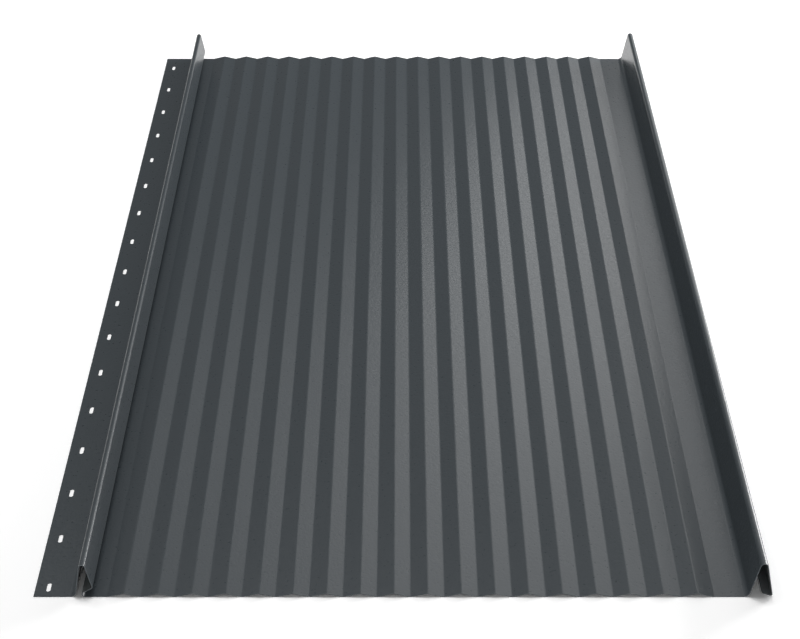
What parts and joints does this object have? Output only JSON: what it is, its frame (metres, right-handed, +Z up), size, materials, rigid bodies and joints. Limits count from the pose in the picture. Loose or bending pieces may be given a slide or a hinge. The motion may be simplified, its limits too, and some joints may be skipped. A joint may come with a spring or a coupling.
{
  "type": "self-locking standing-seam roof panel with a corrugated pan",
  "caption": "Thin coated steel roof panel, roll-formed with low waves, a slotted nail strip, a snap rib on one side and a covering rib on the other.",
  "frame": {"origin": "under the middle of the panel's overall width and length, on the floor that it lies on", "axes": "+X across the panel from the nail strip to the covering rib, +Y along its length away from the viewer, +Z up"},
  "size_m": [0.5124, 0.832, 0.031],
  "materials": {
    "coated_steel": "matt fine-grained polyester coating, anthracite grey"
  },
  "bodies": {
    "root": {"roof_panel": "coated_steel"}
  },
  "joints": []
}
